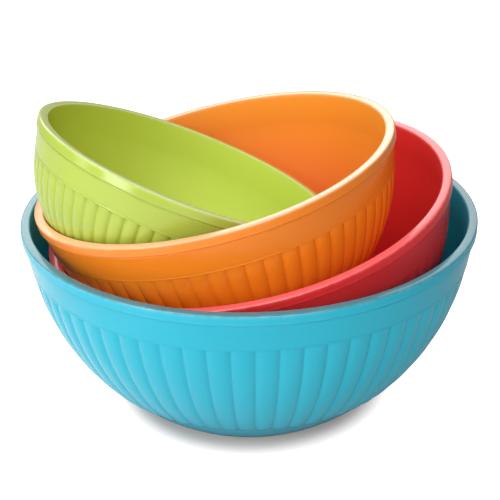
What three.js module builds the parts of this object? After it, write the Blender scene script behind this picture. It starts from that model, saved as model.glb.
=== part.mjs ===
// Nest of four fluted plastic mixing bowls, in millimetres, +Z up.
// The origin is the centre of the largest bowl's foot, on the table top.
import * as THREE from "three";

const DEG = Math.PI / 180;

// The moulded section that every bowl shares.
const LIP_WIDTH = 6.1; // across the flat rim
const LIP_HEIGHT = 6.2; // from the top of the rim to the step under it
const LIP_ROUND = 1.8; // radius of the rim's two upper corners
const LIP_OVERHANG = 1.2; // the rim stands this far out past the plain band
const BAND_TAPER = 3.1; // the plain band narrows by this much, in radius
const WALL = 3.0; // thickness of the fluted wall and of the floor
const WALL_LEAN = 8.5 * DEG; // slope of the wall where the flutes begin
const FOOT_RATIO = 0.486; // foot radius over rim radius

// The flutes: convex ribs side by side, with a crease between each two.
const FLUTES = 64;
const CREASE_DEPTH = 1.65; // below the band, where the flutes are widest
const CROWN_INSET = 0.3; // the crowns lie this far below the band
const FLUTE_LEVELS = [0.012, 0.25, 0.5, 0.66]; // along the wall's arc, at full depth
const FLUTE_END = 0.7; // the rounded tips end here
const STRIP_LEVELS = [FLUTE_END, 0.85]; // the plain strip between the tips and the foot
const STRIP_DEPTH = 1.25; // the strip is set in this far under the tips

const CORNER_STEPS = 3; // straight steps round each upper corner of the rim
const INSIDE_LEVELS = [0.25, 0.5, 0.75]; // extra rings of the smooth inside wall

// Each bowl: its own size, then where the centre of its rim lies and how far
// and which way it leans. "turn" turns the flutes about the bowl's own axis.
const BOWLS = [
  {
    name: "blue_bowl", colour: 0x4dbfdc,
    rimRadius: 152.5, height: 136, bandDepth: 25.3,
    rim: [0, 0, 136], lean: 0, towards: 0, turn: 0.95 * DEG,
  },
  {
    name: "red_bowl", colour: 0xe0242a,
    rimRadius: 138.5, height: 125, bandDepth: 25,
    rim: [-1.5, 5.8, 139.3], lean: 11.42 * DEG, towards: -163.9 * DEG, turn: 0,
  },
  {
    name: "orange_bowl", colour: 0xee8422,
    rimRadius: 122, height: 109, bandDepth: 24.8,
    rim: [-23.8, -2.0, 170.6], lean: 12.9 * DEG, towards: 176.7 * DEG, turn: 2.1 * DEG,
  },
  {
    name: "green_bowl", colour: 0xbfd65e,
    rimRadius: 103.5, height: 83, bandDepth: 22.4,
    rim: [-37.5, -6.2, 170.65], lean: 23.5 * DEG, towards: 19.8 * DEG, turn: 4.05 * DEG,
  },
];

// The wall's outline, from the lower edge of the band to the edge of the foot,
// is one circular arc. Depths are negative z, measured down from the rim.
function wallArc(bowl) {
  const start = new THREE.Vector2(bowl.rimRadius - LIP_OVERHANG - BAND_TAPER, -bowl.bandDepth);
  const end = new THREE.Vector2(FOOT_RATIO * bowl.rimRadius, -bowl.height);
  const chord = Math.atan2(start.x - end.x, start.y - end.y);
  const endLean = 2 * chord - WALL_LEAN;
  const radius = (start.y - end.y) / (Math.sin(endLean) - Math.sin(WALL_LEAN));
  return (fraction, inset) => {
    const lean = WALL_LEAN + fraction * (endLean - WALL_LEAN);
    return {
      r: start.x - radius * (Math.cos(WALL_LEAN) - Math.cos(lean)) - inset * Math.cos(lean),
      z: start.y - radius * (Math.sin(lean) - Math.sin(WALL_LEAN)) + inset * Math.sin(lean),
    };
  };
}

// Where the arc, set in by the wall's thickness, reaches the floor's top face.
function floorFraction(arc, floorTop) {
  let low = 0;
  let high = 1;
  for (let i = 0; i < 40; i++) {
    const middle = (low + high) / 2;
    if (arc(middle, WALL).z > floorTop) low = middle;
    else high = middle;
  }
  return low;
}

// A ring of points about the axis, one for each flute.
function plainRing({ r, z }) {
  return Array.from({ length: FLUTES }, () => ({ r, z }));
}

// A ring with two points for each flute, the first at the bottom of its crease.
// The creases grow shallower as the flutes grow narrower towards the foot.
function flutedRing(arc, fraction) {
  const narrowing = arc(fraction, 0).r / arc(0, 0).r;
  const crown = arc(fraction, CROWN_INSET);
  const crease = arc(fraction, CREASE_DEPTH * narrowing);
  return Array.from({ length: 2 * FLUTES }, (_, i) => (i % 2 ? crown : crease));
}

// The plain strip slopes out from under the tips to the edge of the foot.
function stripRing(arc, fraction) {
  const depth = (STRIP_DEPTH * (1 - fraction)) / (1 - FLUTE_END);
  return plainRing(arc(fraction, depth));
}

// The flat top of the rim with its two rounded corners, from inside to outside.
function rimTop(bowl) {
  const inner = bowl.rimRadius - LIP_WIDTH + LIP_ROUND;
  const outer = bowl.rimRadius - LIP_ROUND;
  const corner = (middle, angle) => ({
    r: middle + LIP_ROUND * Math.cos(angle),
    z: LIP_ROUND * (Math.sin(angle) - 1),
  });
  const quarter = Math.PI / 2;
  const steps = Array.from({ length: CORNER_STEPS + 1 }, (_, i) => i / CORNER_STEPS);
  const inside = steps.map((step) => corner(inner, quarter * (2 - step)));
  const outside = steps.map((step) => corner(outer, quarter * (1 - step)));
  return [...inside, ...outside];
}

// Every ring of one bowl, from the middle of the floor, up the inside, over
// the rim and down the outside to the foot.
function bowlRings(bowl) {
  const arc = wallArc(bowl);
  const floorTop = WALL - bowl.height;
  const floorEdge = floorFraction(arc, floorTop);
  const bandRadius = bowl.rimRadius - LIP_OVERHANG;
  const rings = [];

  rings.push(plainRing({ r: arc(floorEdge, WALL).r, z: floorTop }));
  for (const level of INSIDE_LEVELS.toReversed()) {
    rings.push(plainRing(arc(level * floorEdge, WALL)));
  }
  rings.push(plainRing(arc(0, WALL)));
  rimTop(bowl).forEach((point) => rings.push(plainRing(point)));
  rings.push(plainRing({ r: bowl.rimRadius, z: -LIP_HEIGHT }));
  rings.push(plainRing({ r: bandRadius, z: -LIP_HEIGHT }));
  rings.push(plainRing(arc(0, 0)));
  FLUTE_LEVELS.forEach((level) => rings.push(flutedRing(arc, level)));
  STRIP_LEVELS.forEach((level) => rings.push(stripRing(arc, level)));
  rings.push(plainRing(arc(1, 0)));
  return rings;
}

// Joins neighbouring rings with triangles. Where one ring has twice as many
// points as the other, each of its extra points is fanned in.
function joinRings(index, lower, upper) {
  const steps = Math.max(lower.count, upper.count);
  const at = (ring, i) => ring.first + Math.floor((i * ring.count) / steps) % ring.count;
  for (let i = 0; i < steps; i++) {
    const corners = [at(lower, i), at(lower, i + 1), at(upper, i + 1), at(upper, i)];
    if (corners[0] !== corners[1]) index.push(corners[0], corners[1], corners[2]);
    if (corners[2] !== corners[3]) index.push(corners[0], corners[2], corners[3]);
  }
}

function closeRing(index, ring, centre, flip) {
  for (let i = 0; i < ring.count; i++) {
    const a = ring.first + i;
    const b = ring.first + ((i + 1) % ring.count);
    if (flip) index.push(centre, b, a);
    else index.push(centre, a, b);
  }
}

function bowlGeometry(bowl) {
  const position = [];
  const index = [];
  const rings = bowlRings(bowl).map((points) => {
    const first = position.length / 3;
    points.forEach(({ r, z }, i) => {
      const angle = bowl.turn + (2 * Math.PI * i) / points.length;
      position.push(r * Math.cos(angle), r * Math.sin(angle), z);
    });
    return { first, count: points.length };
  });
  for (let i = 0; i + 1 < rings.length; i++) joinRings(index, rings[i + 1], rings[i]);

  const floorCentre = position.length / 3;
  position.push(0, 0, WALL - bowl.height);
  closeRing(index, rings[0], floorCentre, false);
  const footCentre = floorCentre + 1;
  position.push(0, 0, -bowl.height);
  closeRing(index, rings.at(-1), footCentre, true);

  const geometry = new THREE.BufferGeometry();
  geometry.setAttribute("position", new THREE.Float32BufferAttribute(position, 3));
  geometry.setIndex(index);
  geometry.computeVertexNormals();
  return geometry;
}

function bowlMesh(bowl) {
  const material = new THREE.MeshStandardMaterial({ color: bowl.colour, roughness: 0.3, metalness: 0 });
  const mesh = new THREE.Mesh(bowlGeometry(bowl), material);
  mesh.name = bowl.name;
  mesh.position.set(...bowl.rim);
  const hinge = new THREE.Vector3(-Math.sin(bowl.towards), Math.cos(bowl.towards), 0);
  mesh.quaternion.setFromAxisAngle(hinge, bowl.lean);
  return mesh;
}

const nest = new THREE.Group();
BOWLS.forEach((bowl) => nest.add(bowlMesh(bowl)));

export default nest;
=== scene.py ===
"""Looks for a nest of four fluted plastic mixing bowls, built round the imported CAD.

Bowl sizes are in millimetres, as in the CAD, and are turned into metres where a
mesh is made. Each bowl's CAD solid is replaced by one fine closed mesh of the
same section, with rounded edges and curved flutes.
"""
import math

import bpy
import numpy as np
from mathutils import Matrix, Vector


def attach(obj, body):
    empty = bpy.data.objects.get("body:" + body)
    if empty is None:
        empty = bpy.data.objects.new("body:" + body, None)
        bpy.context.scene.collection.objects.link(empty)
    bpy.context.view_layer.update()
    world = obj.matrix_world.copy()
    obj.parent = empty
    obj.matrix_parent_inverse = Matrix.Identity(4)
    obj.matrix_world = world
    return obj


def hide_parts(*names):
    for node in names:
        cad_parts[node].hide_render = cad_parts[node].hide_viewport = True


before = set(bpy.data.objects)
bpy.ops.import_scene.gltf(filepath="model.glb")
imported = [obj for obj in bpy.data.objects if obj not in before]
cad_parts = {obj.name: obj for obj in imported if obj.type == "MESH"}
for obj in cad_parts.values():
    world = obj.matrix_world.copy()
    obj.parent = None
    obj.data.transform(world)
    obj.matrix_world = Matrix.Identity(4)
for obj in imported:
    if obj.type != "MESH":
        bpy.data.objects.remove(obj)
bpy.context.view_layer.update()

MM = 0.001

# ---------------------------------------------------------------- the section
LIP_WIDTH = 6.1       # across the flat rim
LIP_HEIGHT = 6.2      # from the top of the rim to the step under it
LIP_ROUND = 1.0       # radius of the rim's two upper corners
LIP_CROWN = 0.12      # the rim's top is very slightly domed
LIP_OVERHANG = 1.2    # the rim stands this far out past the plain band
BAND_TAPER = 3.1      # the plain band narrows by this much, in radius
SMALL_ROUND = 0.3     # radius of the step's lower edge and inner corner
GROOVE_WIDTH = 0.7    # of the two fine lines that border the plain band
GROOVE_DEPTH = 0.4
GROOVE_AWAY = 1.1     # from the band's edge to the middle of the line
GROOVE_EDGE = 0.1     # a ring this far outside each edge keeps it crisp
WALL = 3.0            # thickness of the wall and of the floor
WALL_LEAN = math.radians(8.5)
FOOT_RATIO = 0.486    # foot radius over rim radius

FLUTES = 64
CREASE_DEPTH = 1.6    # at the top of a flute; it shrinks with the flute's width
CROWN_INSET = 0.3     # the crowns lie this far below the band
LEDGE = 0.003         # share of the wall taken by the ledge over the flutes
TIP_START = 0.645     # where the rounded tips begin, as a share of the wall
TIP_END = 0.70        # and where they end, above the plain strip
STRIP_END = 0.975     # where the plain strip meets the foot's rounded edge
STRIP_SHARE = 0.26    # share of the wall that the strip's rings are spread over

FOOT_LAND = 4.5       # width of the ring that the bowl stands on
FOOT_ROUND = 1.6      # the foot's outer edge curves up over this width
FOOT_RECESS = 0.8     # the underside lies this far above the standing ring
GATE_RADIUS = 2.2     # the small moulding mark in the middle of the underside
GATE_HEIGHT = 0.35
FLOOR_FILLET = 15.0   # length of the curve between wall and floor, each way
FLOOR_MIDDLE = 3.0    # radius of the floor's last ring

# Points across one flute, from crease to crease: close together in the crease.
FLUTE_STEPS = (0.0, 0.03, 0.08, 0.15, 0.28, 0.5, 0.72, 0.85, 0.92, 0.97)

# Rings on the outside of the wall.
STRIP_RINGS = 9
TIP_RINGS = 14
UPRIGHT_STEPS = 22
TIP_MARGIN = 0.006    # the close rings of the tips start this far below them

# Rings on the inside.
WALL_STEPS = 11
WALL_SHARE = 0.86     # of the way to the floor, where the fillet begins
FILLET_STEPS = 9
FLOOR_STEPS = 6
INSIDE_LEAD = 11      # the inside's painted glow and satin finish start this many rings before the wall

BOWLS = (
    dict(name="blue", node="blue_bowl", radius=152.5, height=136.0, band=25.3,
         rim=(0.0, 0.0, 136.0), lean=0.0, towards=0.0, turn=0.95),
    dict(name="red", node="red_bowl", radius=138.5, height=125.0, band=25.0,
         rim=(-1.5, 5.8, 139.3), lean=11.42, towards=-163.9, turn=0.0),
    dict(name="orange", node="orange_bowl", radius=122.0, height=109.0, band=24.8,
         rim=(-23.8, -2.0, 170.6), lean=12.9, towards=176.7, turn=2.1),
    dict(name="green", node="green_bowl", radius=103.5, height=83.0, band=22.4,
         rim=(-37.5, -6.2, 170.65), lean=23.5, towards=19.8, turn=4.05),
)

# Where handling rubs the plastic: how wide each worn line is, and how strong.
RIM_WEAR_WIDTH = 1.2
RIM_WEAR_DEPTH = 0.6  # the worn line runs this far under the rim's top
INNER_RIM_WEAR = 0.7
STEP_WEAR_WIDTH = 0.8
STEP_WEAR = 0.6
FOOT_WEAR_WIDTH = 1.0
FOOT_WEAR_FROM = 0.6  # share of the foot's radius; nothing is rubbed inside it

# Linear RGB. The first two colours mottle the outside. The next two are painted light on the
# inside:
# the inside is painted darkest at the floor and brightest near the rim. The last is painted
# light on the flat rim's top: a pale painted reflection on three bowls, and a darker painted
# shade on the blue one.
PLASTICS = {
    "blue": dict(
        base=(0.012, 0.450, 0.600), deep=(0.010, 0.430, 0.580),
        painted_low_light=(0.016, 0.520, 0.680), painted_glow=(0.020, 0.720, 0.960),
        rim_sheen_and_shade=(0.060, 0.110, 0.110)),
    "red": dict(
        base=(0.850, 0.022, 0.022), deep=(0.820, 0.020, 0.020),
        painted_low_light=(0.920, 0.024, 0.022), painted_glow=(1.000, 0.045, 0.040),
        rim_sheen_and_shade=(0.880, 0.160, 0.170)),
    "orange": dict(
        base=(0.930, 0.245, 0.015), deep=(0.900, 0.230, 0.012),
        painted_low_light=(0.820, 0.080, 0.010), painted_glow=(1.000, 0.320, 0.020),
        rim_sheen_and_shade=(0.970, 0.560, 0.330)),
    "green": dict(
        base=(0.400, 0.505, 0.066), deep=(0.385, 0.490, 0.062),
        painted_low_light=(0.500, 0.610, 0.065), painted_glow=(0.490, 0.630, 0.062),
        rim_sheen_and_shade=(0.570, 0.660, 0.260)),
}
RIM_SHEEN_AND_SHADE_MIX = 0.7         # how far the flat rim's top goes to its painted reflection colour, a darker painted shade on the blue bowl
RUBBED_WHITE = 0.4     # how far a rubbed spot's own colour goes to white
OUTSIDE_ROUGH = (0.15, 0.18)
INSIDE_ROUGH = 0.5     # added on the satin inside
RUBBED_ROUGH = 0.3     # added where the plastic is rubbed
PLASTIC_IOR = 1.5

# ------------------------------------------------------- sizes of the staging
# The floor shows a narrow soft shadow round the blue bowl's foot, and throws
# back less light close to the foot and towards the right.
FLOOR_HALF = 6.0       # half its side, in metres
FLOOR_DROP = 0.0002    # it lies this far below the bowl's foot
FLOOR_SHOWN = ((0.70, 0.57, 0.53), (0.72, 0.59, 0.55))
FLOOR_BOUNCE_LEFT = (0.85, 0.85, 0.85)
FLOOR_BOUNCE_RIGHT = (0.30, 0.30, 0.30)
FLOOR_BOUNCE_FOOT = (0.30, 0.30, 0.30)
FLOOR_GRADE = (-0.2, 0.4)         # from left to right, in metres
FOOT_SHADOW = (0.079, 0.103)      # metres from the middle: darkest, and gone
FOOT_SHADOW_GLOW = (0.12, 0.92)   # the floor's own light at those two
FOOT_BOUNCE = (0.079, 0.115)      # the same for the light thrown back

# The camera stands in front of the nest and looks down at it.
CAMERA_ELEVATION = math.radians(25.98)
CAMERA_ROLL = math.radians(0.97)
CAMERA_DISTANCE = 0.8
CAMERA_TARGET = (0.0003, 0.0, 0.1032)
CAMERA_LENS = 83.6
CAMERA_SENSOR = 36.0

# Soft boxes: name, place, aim, width and height in metres, watts, spread.
NEST = (0.0, 0.0, 0.1)
LIGHTS = (
    ("window", (-1.25, -1.15, 0.62), NEST, (0.6, 0.8), 11.0, 180.0),
    ("side", (-1.6, -0.35, 0.55), NEST, (0.25, 0.9), 2.0, 180.0),
    ("high_left", (-0.75, -0.15, 1.75), NEST, (1.0, 1.2), 19.0, 180.0),
    ("front", (0.1, -1.75, 0.42), NEST, (1.1, 0.7), 2.5, 180.0),
    ("fill", (0.3, -1.4, 1.1), NEST, (1.0, 0.8), 12.5, 180.0),
    ("backdrop", (-0.2, 1.5, 0.95), (0.0, 0.0, 0.4), (3.0, 0.7), 5.0, 90.0),
)
DOME_SIDES = 0.12      # the dome's strength level with the nest
DOME_TOP = 0.35        # and overhead
BACKGROUND = 1.1       # white, where the camera sees past everything


# ------------------------------------------------------------------- geometry
def wall_arc(bowl):
    """The wall's outline, one circular arc from the band to the foot.

    Gives radius and height, for a share of the arc and an inset into the wall.
    """
    start_r = bowl["radius"] - LIP_OVERHANG - BAND_TAPER
    start_z = -bowl["band"]
    end_r = FOOT_RATIO * bowl["radius"]
    end_z = -bowl["height"]
    chord = math.atan2(start_r - end_r, start_z - end_z)
    end_lean = 2 * chord - WALL_LEAN
    rho = (start_z - end_z) / (math.sin(end_lean) - math.sin(WALL_LEAN))

    def at(share, inset=0.0):
        lean = WALL_LEAN + share * (end_lean - WALL_LEAN)
        r = start_r - rho * (math.cos(WALL_LEAN) - math.cos(lean)) - inset * math.cos(lean)
        z = start_z - rho * (math.sin(lean) - math.sin(WALL_LEAN)) + inset * math.sin(lean)
        return r, z

    return at


def smoothstep(value):
    value = min(max(value, 0.0), 1.0)
    return value * value * (3 - 2 * value)


def curve_points(start, corner, end, steps):
    """A quadratic curve from start to end that rounds the corner."""
    points = []
    for i in range(steps + 1):
        t = i / steps
        a, b, c = (1 - t) ** 2, 2 * t * (1 - t), t * t
        points.append((a * start[0] + b * corner[0] + c * end[0],
                       a * start[1] + b * corner[1] + c * end[1]))
    return points


def arc_points(centre, radius, first, last, steps):
    """Points on a circle between two angles, in degrees."""
    points = []
    for i in range(steps + 1):
        angle = math.radians(first + (last - first) * i / steps)
        points.append((centre[0] + radius * math.cos(angle),
                       centre[1] + radius * math.sin(angle)))
    return points


def line_points(start, end, steps):
    """Points from start to end, both left out, closer together near the ends."""
    points = []
    for i in range(1, steps):
        t = 0.5 - 0.5 * math.cos(math.pi * i / steps)
        points.append((start[0] + (end[0] - start[0]) * t,
                       start[1] + (end[1] - start[1]) * t))
    return points


def floor_share(at, floor_z):
    """Where the arc, set in by the wall's thickness, reaches the floor's top."""
    low, high = 0.0, 1.0
    for _ in range(40):
        middle = (low + high) / 2
        if at(middle, WALL)[1] > floor_z:
            low = middle
        else:
            high = middle
    return low


def underside_rings(bowl):
    """From near the centre of the underside out to the foot's outer edge."""
    at = wall_arc(bowl)
    foot = FOOT_RATIO * bowl["radius"]
    low = -bowl["height"]
    top = low + FOOT_RECESS
    land = foot - 1.2 - FOOT_LAND
    gate = top - GATE_HEIGHT
    rings = [(1.0, gate), (GATE_RADIUS, gate)]
    rings += [(GATE_RADIUS + 0.5, top - 0.1), (GATE_RADIUS + 0.9, top)]
    rings += line_points(rings[-1], (land - 2.5, top), 6)
    rings += curve_points((land - 2.5, top), (land - 1.0, top), (land - 0.7, top - 0.4), 3)
    rings += curve_points((land - 0.5, low + 0.25), (land - 0.3, low), (land + 0.6, low), 3)
    rings += line_points((land + 0.6, low), (foot - FOOT_ROUND, low), 3)
    rings += curve_points((foot - FOOT_ROUND, low), (foot + 0.1, low), at(0.985), 5)
    return rings


def base_inset(share, ratio):
    """How deep the creases and the plain strip lie below the wall's outline."""
    depth = CROWN_INSET + CREASE_DEPTH * ratio
    if share <= TIP_END:
        return depth
    return depth * (1 - smoothstep((share - TIP_END) / (1 - TIP_END)))


def flute_height(share, across):
    """How far a flute rises out of its creases, from 0 to 1."""
    past = max(0.0, (share - TIP_START) / (TIP_END - TIP_START))
    return np.clip(1 - np.abs(across) ** 3 - past ** 2, 0, None)


def flute_share_list():
    """Shares of the wall, from the foot up, where the outside has its rings."""
    tip_low = TIP_END + TIP_MARGIN
    strip = [STRIP_END - STRIP_SHARE * i / STRIP_RINGS for i in range(STRIP_RINGS)]
    tip = [tip_low - (tip_low - TIP_START) * i / TIP_RINGS for i in range(TIP_RINGS)]
    upright = [TIP_START - (TIP_START - 2 * LEDGE) * i / UPRIGHT_STEPS
               for i in range(UPRIGHT_STEPS + 1)]
    ledge = [1.35 * LEDGE, LEDGE, 0.55 * LEDGE, 0.12 * LEDGE]
    return strip + tip + upright + ledge


def fluted_rings(bowl, across):
    """The outside of the wall, from the foot up to the ledge under the band."""
    at = wall_arc(bowl)
    top_r = at(0.0)[0]
    rings = []
    for share in flute_share_list():
        ratio = at(share)[0] / top_r
        base = base_inset(share, ratio)
        rise = flute_height(share, across)
        inset = base - (base - CROWN_INSET) * rise if share < TIP_END else base + 0 * rise
        if share < LEDGE:
            inset = inset * smoothstep(share / LEDGE)
        r, z = at(share, 0.0)
        r_in, z_in = at(share, 1.0)
        rings.append((r + (r_in - r) * inset, z + (z_in - z) * inset))
    return rings


def band_rings(bowl):
    """The plain band, bottom to top, with a fine groove near each edge."""
    low_r, low_z = wall_arc(bowl)(0.0)
    high_r, high_z = bowl["radius"] - LIP_OVERHANG, -LIP_HEIGHT - SMALL_ROUND

    def on_band(z, inset=0.0):
        return low_r + (high_r - low_r) * (z - low_z) / (high_z - low_z) - inset, z

    half = GROOVE_WIDTH / 2
    low_groove = low_z + GROOVE_AWAY
    high_groove = -LIP_HEIGHT - GROOVE_AWAY
    rings = [on_band(low_z), on_band(low_z + 0.15)]
    for z in (low_groove, high_groove):
        rings += [on_band(z - half - GROOVE_EDGE), on_band(z - half), on_band(z, GROOVE_DEPTH)]
        rings += [on_band(z + half), on_band(z + half + GROOVE_EDGE)]
        if z == low_groove:
            rings += line_points(rings[-1], on_band(high_groove - half - GROOVE_EDGE), 4)
    return rings


def rim_rings(bowl):
    """Round the lip and the flat rim to the inside wall's top."""
    radius = bowl["radius"]
    at = wall_arc(bowl)
    band_top = radius - LIP_OVERHANG
    inner = radius - LIP_WIDTH
    small = SMALL_ROUND
    corner_z = -LIP_ROUND - LIP_CROWN
    rings = arc_points((band_top + small, -LIP_HEIGHT - small), small, 180, 90, 3)
    rings += arc_points((radius - small, -LIP_HEIGHT + small), small, -90, 0, 4)
    rings += line_points((radius, -LIP_HEIGHT + small), (radius, corner_z), 6)
    rings += arc_points((radius - LIP_ROUND, corner_z), LIP_ROUND, 0, 90, 6)
    rings.append((radius - LIP_WIDTH / 2, 0.0))
    rings += arc_points((inner + LIP_ROUND, corner_z), LIP_ROUND, 90, 180, 6)
    rings += line_points((inner, corner_z), at(0.0, WALL), 5)
    rings.append(at(0.0, WALL))
    return rings


def inside_rings(bowl):
    """Down the smooth inside wall and across the floor, almost to its centre."""
    at = wall_arc(bowl)
    floor_z = WALL - bowl["height"]
    corner_share = floor_share(at, floor_z)
    corner = at(corner_share, WALL)
    flat_start = (corner[0] - FLOOR_FILLET, floor_z)
    end_share = WALL_SHARE * corner_share
    rings = [at(end_share * i / WALL_STEPS, WALL) for i in range(1, WALL_STEPS)]
    rings += curve_points(at(end_share, WALL), corner, flat_start, FILLET_STEPS)
    rings += line_points(flat_start, (FLOOR_MIDDLE, floor_z), FLOOR_STEPS)
    rings.append((FLOOR_MIDDLE, floor_z))
    return rings


def bowl_points(bowl):
    """Every point of a bowl that stands upright, with its rim at height 0.

    Gives the points, ring by ring and then the two centres, with the number of
    points round, the number of rings and the first point of the inside.
    """
    steps = np.array(FLUTE_STEPS)
    phase = (np.arange(FLUTES)[:, None] + steps[None, :]).ravel() / FLUTES
    angle = math.radians(bowl["turn"]) + 2 * math.pi * phase
    across = np.tile(2 * steps - 1, FLUTES)
    count = len(angle)

    inside = inside_rings(bowl)
    rings = underside_rings(bowl) + fluted_rings(bowl, across)
    rings += band_rings(bowl) + rim_rings(bowl)
    inside_start = (len(rings) - INSIDE_LEAD) * count
    rings += inside

    radius = np.array([np.broadcast_to(r, count) for r, _ in rings])
    height = np.array([np.broadcast_to(z, count) for _, z in rings])
    grid = np.stack([radius * np.cos(angle), radius * np.sin(angle), height], axis=-1)
    low_centre = (0.0, 0.0, FOOT_RECESS - bowl["height"] - GATE_HEIGHT)
    high_centre = (0.0, 0.0, WALL - bowl["height"])
    points = np.vstack([grid.reshape(-1, 3), low_centre, high_centre])
    return points, count, len(rings), inside_start


def bowl_faces(count, ring_count):
    """Four-sided faces between neighbouring rings, and a fan at each centre."""
    first = np.arange(ring_count - 1)[:, None] * count
    here = np.arange(count)[None, :]
    after = (here + 1) % count
    corners = [first + here, first + after, first + count + after, first + count + here]
    faces = np.stack(corners, axis=-1).reshape(-1, 4).tolist()
    low_centre = ring_count * count
    high_centre = low_centre + 1
    last = (ring_count - 1) * count
    for i in range(count):
        j = (i + 1) % count
        faces.append((low_centre, j, i))
        faces.append((last + i, last + j, high_centre))
    return faces


def placed(bowl, points):
    """The points in metres, leant over and moved to where the bowl lies."""
    towards = math.radians(bowl["towards"])
    hinge = Vector((-math.sin(towards), math.cos(towards), 0))
    tilt = np.array(Matrix.Rotation(math.radians(bowl["lean"]), 3, hinge))
    return (points @ tilt.T + np.array(bowl["rim"])) * MM


def bowl_mesh(bowl):
    """One closed mesh of a bowl, standing where it lies in the nest."""
    points, count, ring_count, inside_start = bowl_points(bowl)
    mesh = bpy.data.meshes.new(bowl["name"] + "_bowl_mesh")
    mesh.from_pydata(placed(bowl, points).tolist(), [], bowl_faces(count, ring_count))
    mesh.polygons.foreach_set("use_smooth", [True] * len(mesh.polygons))
    add_attributes(mesh, bowl, points, inside_start)
    mesh.update()
    return mesh


def worn_line(r, z, line_r, line_z, width):
    """Wear along one edge, 1 on the line and fading to nothing beside it."""
    return np.exp(-((r - line_r) ** 2 + (z - line_z) ** 2) / width ** 2)


def add_attributes(mesh, bowl, points, inside_start):
    """Stores where the bowl is rubbed, the rim's top that gets painted sheen and shade, its
    inside, and the inside's height that sets its painted glow.
    """
    r = np.hypot(points[:, 0], points[:, 1])
    z = points[:, 2]
    radius = bowl["radius"]
    rim_outer = worn_line(r, z, radius, -RIM_WEAR_DEPTH, RIM_WEAR_WIDTH)
    rim_inner = worn_line(r, z, radius - LIP_WIDTH, -RIM_WEAR_DEPTH, RIM_WEAR_WIDTH)
    step = worn_line(r, z, radius, -LIP_HEIGHT, STEP_WEAR_WIDTH)
    foot = np.exp(-((z + bowl["height"]) / FOOT_WEAR_WIDTH) ** 2)
    foot = foot * (r > FOOT_WEAR_FROM * FOOT_RATIO * radius)
    inside = (np.arange(len(points)) >= inside_start).astype(float)
    # The inside's height runs from 0 at the floor to 1 at the rim and sets how much painted
    # glow the inside gets.
    values = dict(
        wear=np.clip(rim_outer + INNER_RIM_WEAR * rim_inner + STEP_WEAR * step + foot, 0, 1),
        rim=np.clip((z + LIP_ROUND + 0.3) / 1.2, 0, 1),
        inside=inside,
        painted_glow=inside * np.clip(1 + z / bowl["height"], 0, 1))
    for name, value in values.items():
        layer = mesh.attributes.new(name, "FLOAT", "POINT")
        layer.data.foreach_set("value", value.astype(np.float32))


# ------------------------------------------------------------------ materials
class Nodes:
    """Short helpers for building one node tree."""

    def __init__(self, name):
        self.material = bpy.data.materials.new(name)
        self.material.use_nodes = True
        self.tree = self.material.node_tree
        self.tree.nodes.clear()

    def add(self, kind, **values):
        node = self.tree.nodes.new(kind)
        for key, value in values.items():
            setattr(node, key, value)
        return node

    def link(self, source, target):
        self.tree.links.new(source, target)

    def attribute(self, name):
        return self.add("ShaderNodeAttribute", attribute_name=name).outputs["Fac"]

    def noise(self, coordinates, scale, detail, roughness=0.5):
        node = self.add("ShaderNodeTexNoise")
        node.inputs["Scale"].default_value = scale
        node.inputs["Detail"].default_value = detail
        node.inputs["Roughness"].default_value = roughness
        self.link(coordinates, node.inputs["Vector"])
        return node.outputs["Fac"]

    def remap(self, value, low, high, to_low, to_high, shape="LINEAR"):
        node = self.add("ShaderNodeMapRange", interpolation_type=shape)
        numbers = {"From Min": low, "From Max": high, "To Min": to_low, "To Max": to_high}
        for socket, number in numbers.items():
            node.inputs[socket].default_value = number
        self.link(value, node.inputs["Value"])
        return node.outputs["Result"]

    def math(self, operation, first, second):
        node = self.add("ShaderNodeMath", operation=operation)
        for socket, value in zip(node.inputs, (first, second)):
            if isinstance(value, (int, float)):
                socket.default_value = value
            else:
                self.link(value, socket)
        return node.outputs[0]

    def mix(self, factor, first, second):
        node = self.add("ShaderNodeMix", data_type="RGBA")
        self.link(factor, node.inputs["Factor"])
        for socket, value in (("A", first), ("B", second)):
            colour = [s for s in node.inputs if s.name == socket and s.type == "RGBA"][0]
            if isinstance(value, tuple):
                colour.default_value = (*value, 1.0)
            else:
                self.link(value, colour)
        return [s for s in node.outputs if s.type == "RGBA"][0]

    def bump(self, height, strength, distance, normal=None):
        node = self.add("ShaderNodeBump")
        node.inputs["Strength"].default_value = strength
        node.inputs["Distance"].default_value = distance
        self.link(height, node.inputs["Height"])
        if normal is not None:
            self.link(normal, node.inputs["Normal"])
        return node.outputs["Normal"]


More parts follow.
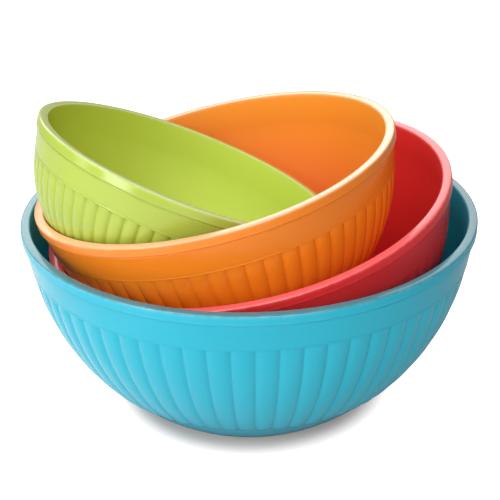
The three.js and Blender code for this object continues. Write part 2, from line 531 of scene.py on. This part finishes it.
def plastic(name, base, deep, painted_low_light, painted_glow, rim_sheen_and_shade):
    """Moulded plastic: slow mottling, fine grain, rubbed edges, a satin inside painted with
    glow, and a rim top painted with sheen and shade.
    """
    nodes = Nodes(name)
    place = nodes.add("ShaderNodeTexCoord").outputs["Object"]
    inside = nodes.attribute("inside")
    shader = nodes.add("ShaderNodeBsdfPrincipled")
    output = nodes.add("ShaderNodeOutputMaterial")
    mottle = nodes.noise(place, 9.0, 3.0)
    grain = nodes.noise(place, 900.0, 2.0)
    scuff = nodes.noise(place, 160.0, 5.0, 0.7)
    scuffs = nodes.remap(scuff, 0.4, 0.7, 0.05, 0.25)
    rubbed = nodes.math("MULTIPLY", nodes.attribute("wear"), scuffs)

    colour = nodes.mix(nodes.remap(mottle, 0.35, 0.65, 0.0, 1.0), deep, base)
    # The inside is painted light: darkest at the floor and brightest near the rim.
    colour = nodes.mix(inside, colour, nodes.mix(nodes.attribute("painted_glow"), painted_low_light, painted_glow))
    # The flat rim's top is painted: a pale painted reflection on three bowls, a darker painted
    # shade on the blue one.
    colour = nodes.mix(nodes.math("MULTIPLY", nodes.attribute("rim"), RIM_SHEEN_AND_SHADE_MIX), colour, rim_sheen_and_shade)
    pale = tuple((1 - RUBBED_WHITE) * c + RUBBED_WHITE for c in base)
    colour = nodes.mix(rubbed, colour, pale)
    nodes.link(colour, shader.inputs["Base Color"])

    rough = nodes.remap(mottle, 0.3, 0.7, *OUTSIDE_ROUGH)
    rough = nodes.math("ADD", rough, nodes.math("MULTIPLY", inside, INSIDE_ROUGH))
    rough = nodes.math("ADD", rough, nodes.math("MULTIPLY", rubbed, RUBBED_ROUGH))
    nodes.link(rough, shader.inputs["Roughness"])

    normal = nodes.bump(nodes.noise(place, 14.0, 0.0), 0.05, 0.0008)
    normal = nodes.bump(grain, 0.05, 0.00005, normal)
    nodes.link(normal, shader.inputs["Normal"])
    shader.inputs["IOR"].default_value = PLASTIC_IOR
    nodes.link(shader.outputs["BSDF"], output.inputs["Surface"])
    return nodes.material


def floor_material():
    """Pale matt table top; the light that it shows and throws back are set apart."""
    nodes = Nodes("pale_floor")
    place = nodes.add("ShaderNodeTexCoord").outputs["Object"]
    seen = nodes.add("ShaderNodeLightPath").outputs["Is Camera Ray"]
    shader = nodes.add("ShaderNodeBsdfPrincipled")
    output = nodes.add("ShaderNodeOutputMaterial")
    split = nodes.add("ShaderNodeSeparateXYZ")
    nodes.link(place, split.inputs["Vector"])
    length = nodes.add("ShaderNodeVectorMath", operation="LENGTH")
    nodes.link(place, length.inputs[0])
    away = length.outputs["Value"]

    tone = nodes.remap(nodes.noise(place, 3.0, 2.0), 0.3, 0.7, 0.0, 1.0)
    shown = nodes.mix(tone, *FLOOR_SHOWN)
    grade = nodes.remap(split.outputs["X"], *FLOOR_GRADE, 0.0, 1.0)
    bounced = nodes.mix(grade, FLOOR_BOUNCE_LEFT, FLOOR_BOUNCE_RIGHT)
    clear = nodes.remap(away, *FOOT_BOUNCE, 0.0, 1.0, "SMOOTHSTEP")
    bounced = nodes.mix(clear, FLOOR_BOUNCE_FOOT, bounced)
    nodes.link(nodes.mix(seen, bounced, shown), shader.inputs["Base Color"])
    rough = nodes.remap(nodes.noise(place, 60.0, 2.0), 0.3, 0.7, 0.75, 0.85)
    nodes.link(rough, shader.inputs["Roughness"])
    shader.inputs["Specular IOR Level"].default_value = 0.1

    painted_glow = nodes.remap(away, *FOOT_SHADOW, *FOOT_SHADOW_GLOW, "SMOOTHSTEP")
    nodes.link(nodes.math("MULTIPLY", seen, painted_glow), shader.inputs["Emission Strength"])
    shader.inputs["Emission Color"].default_value = (1.0, 1.0, 1.0, 1.0)
    nodes.link(shader.outputs["BSDF"], output.inputs["Surface"])
    return nodes.material


# -------------------------------------------------------------------- staging
def add_object(name, data):
    obj = bpy.data.objects.new(name, data)
    bpy.context.scene.collection.objects.link(obj)
    return obj


def add_bowls():
    for bowl in BOWLS:
        name = bowl["name"]
        piece = add_object(name + "_bowl_shell", bowl_mesh(bowl))
        piece.data.materials.append(plastic(name + "_plastic_look", **PLASTICS[name]))
        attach(piece, name)
        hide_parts(bowl["node"])


def add_floor():
    half = FLOOR_HALF
    corners = [(-half, -half, 0), (half, -half, 0), (half, half, 0), (-half, half, 0)]
    mesh = bpy.data.meshes.new("floor_mesh")
    mesh.from_pydata(corners, [], [(0, 1, 2, 3)])
    mesh.materials.append(floor_material())
    floor = add_object("floor", mesh)
    floor.location.z = -FLOOR_DROP


def add_camera():
    sin_up, cos_up = math.sin(CAMERA_ELEVATION), math.cos(CAMERA_ELEVATION)
    forward = Vector((0.0, cos_up, -sin_up))
    level = Vector((1.0, 0.0, 0.0))
    upright = Vector((0.0, sin_up, cos_up))
    right = math.cos(CAMERA_ROLL) * level - math.sin(CAMERA_ROLL) * upright
    up = math.sin(CAMERA_ROLL) * level + math.cos(CAMERA_ROLL) * upright
    data = bpy.data.cameras.new("camera")
    data.sensor_width = CAMERA_SENSOR
    data.lens = CAMERA_LENS
    camera = add_object("camera", data)
    turn = Matrix((right, up, -forward)).transposed().to_4x4()
    place = Vector(CAMERA_TARGET) - CAMERA_DISTANCE * forward
    camera.matrix_world = Matrix.Translation(place) @ turn
    bpy.context.scene.camera = camera


def add_light(name, place, aim, size, power, spread):
    data = bpy.data.lights.new(name, "AREA")
    data.shape = "RECTANGLE"
    data.size, data.size_y = size
    data.energy = power
    data.spread = math.radians(spread)
    light = add_object(name, data)
    light.visible_camera = False
    direction = Vector(aim) - Vector(place)
    turn = direction.to_track_quat("-Z", "Y").to_matrix().to_4x4()
    light.matrix_world = Matrix.Translation(place) @ turn


def add_world():
    """White behind everything; a dome, brightest overhead, that lights the nest."""
    world = bpy.data.worlds.new("studio")
    world.use_nodes = True
    tree = world.node_tree
    tree.nodes.clear()
    place = tree.nodes.new("ShaderNodeTexCoord")
    split = tree.nodes.new("ShaderNodeSeparateXYZ")
    dome = tree.nodes.new("ShaderNodeMapRange")
    seen = tree.nodes.new("ShaderNodeLightPath")
    strength = tree.nodes.new("ShaderNodeMix")
    sky = tree.nodes.new("ShaderNodeBackground")
    output = tree.nodes.new("ShaderNodeOutputWorld")
    tree.links.new(place.outputs["Generated"], split.inputs["Vector"])
    tree.links.new(split.outputs["Z"], dome.inputs["Value"])
    dome.inputs["To Min"].default_value = DOME_SIDES
    dome.inputs["To Max"].default_value = DOME_TOP
    strength.inputs["B"].default_value = BACKGROUND
    tree.links.new(dome.outputs["Result"], strength.inputs["A"])
    tree.links.new(seen.outputs["Is Camera Ray"], strength.inputs["Factor"])
    tree.links.new(strength.outputs["Result"], sky.inputs["Strength"])
    sky.inputs["Color"].default_value = (1.0, 1.0, 1.0, 1.0)
    tree.links.new(sky.outputs["Background"], output.inputs["Surface"])
    bpy.context.scene.world = world
    bpy.context.scene.view_settings.view_transform = "Standard"


add_camera()
add_bowls()
add_floor()
for light_values in LIGHTS:
    add_light(*light_values)
add_world()
